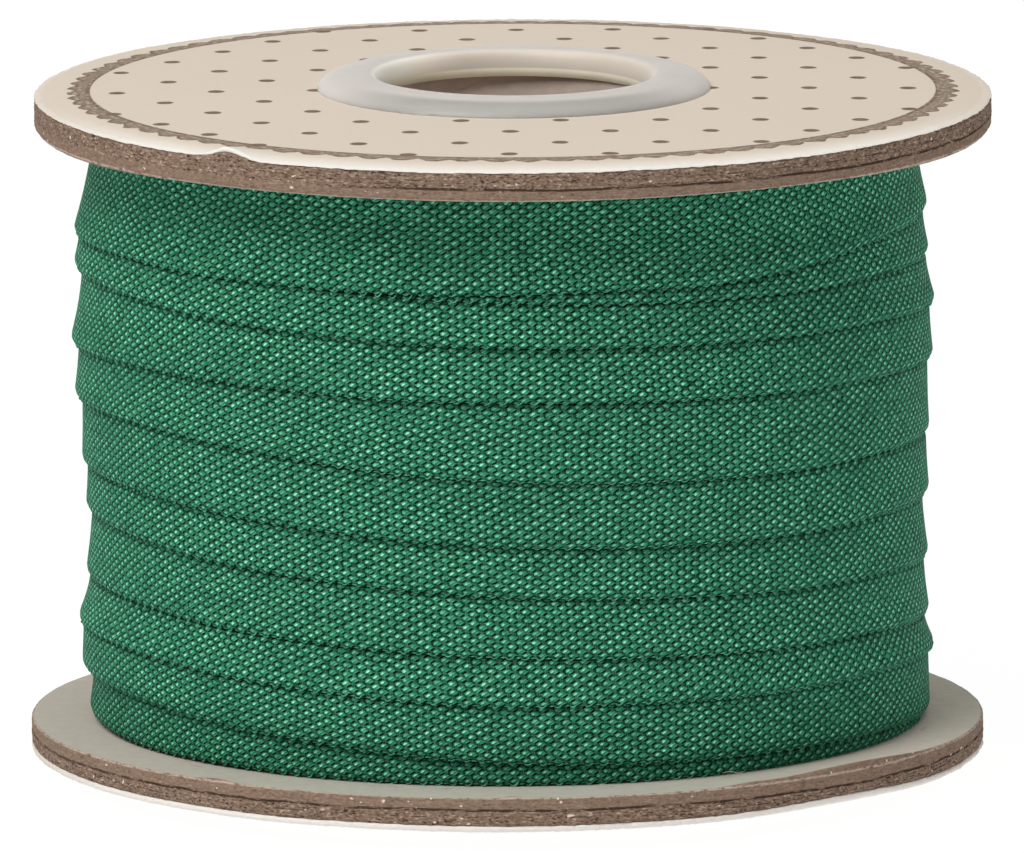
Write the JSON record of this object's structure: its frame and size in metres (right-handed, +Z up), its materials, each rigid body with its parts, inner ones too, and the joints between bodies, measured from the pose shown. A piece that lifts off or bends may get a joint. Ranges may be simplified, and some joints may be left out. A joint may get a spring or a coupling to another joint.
{
  "type": "spool of ribbon",
  "caption": "Cardboard spool with flat round flanges and a pale plastic ring at the hole, wound with narrow green woven ribbon in overlapping turns.",
  "frame": {"origin": "on the surface that the spool stands on, under the middle of its hole", "axes": "+Z up along the spool's axis, from the lower flange to the printed upper one; -Y towards the picture's viewer"},
  "size_m": [0.064, 0.064, 0.0469],
  "materials": {
    "board": "raw grey-brown board, fibrous at its cut edge, greyer on its faces",
    "label_paper": "matte cream paper with small brown dots and a ragged brown ring",
    "tube_board": "raw grey-brown wound board",
    "ribbon": "matte plain weave of soft two-ply yarn, with a small looped selvedge",
    "ring_plastic": "waxy, slightly translucent off-white plastic"
  },
  "bodies": {
    "root": {"flange_bottom": "board", "flange_top": "board", "label_bottom": "label_paper", "label_top": "label_paper", "core_tube": "tube_board", "ribbon_winding": "ribbon", "grommet_top": "ring_plastic", "grommet_bottom": "ring_plastic"}
  },
  "joints": []
}
